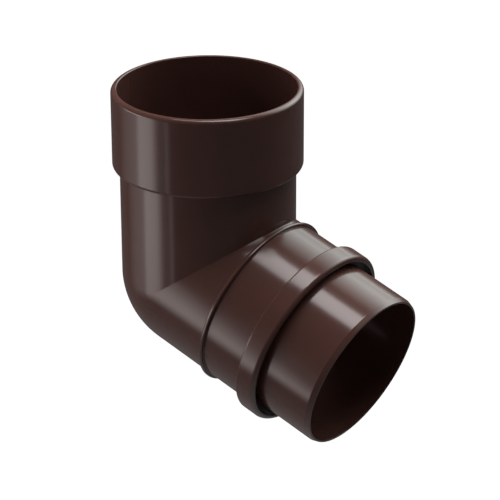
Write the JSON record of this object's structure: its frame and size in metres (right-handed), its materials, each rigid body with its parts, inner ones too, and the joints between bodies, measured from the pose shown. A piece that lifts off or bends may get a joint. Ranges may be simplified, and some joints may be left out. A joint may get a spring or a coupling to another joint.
{
  "type": "downspout elbow",
  "caption": "Moulded elbow for a round downspout: a socket above, a mitred bend, and an outlet leg with a bead, a collar with a skirt and a spigot for the next pipe.",
  "frame": {"origin": "centre of the pipe stop inside the socket, where the upper pipe's end rests", "axes": "+Z along the socket's axis, out of its mouth; the outlet leg leans down towards +X; the part is mirror symmetric about the XZ plane"},
  "size_m": [0.1502, 0.0914, 0.1596],
  "materials": {
    "brown_pvc": "dark brown unplasticised PVC, semi-gloss as moulded"
  },
  "bodies": {
    "root": {"elbow": "brown_pvc"}
  },
  "joints": []
}
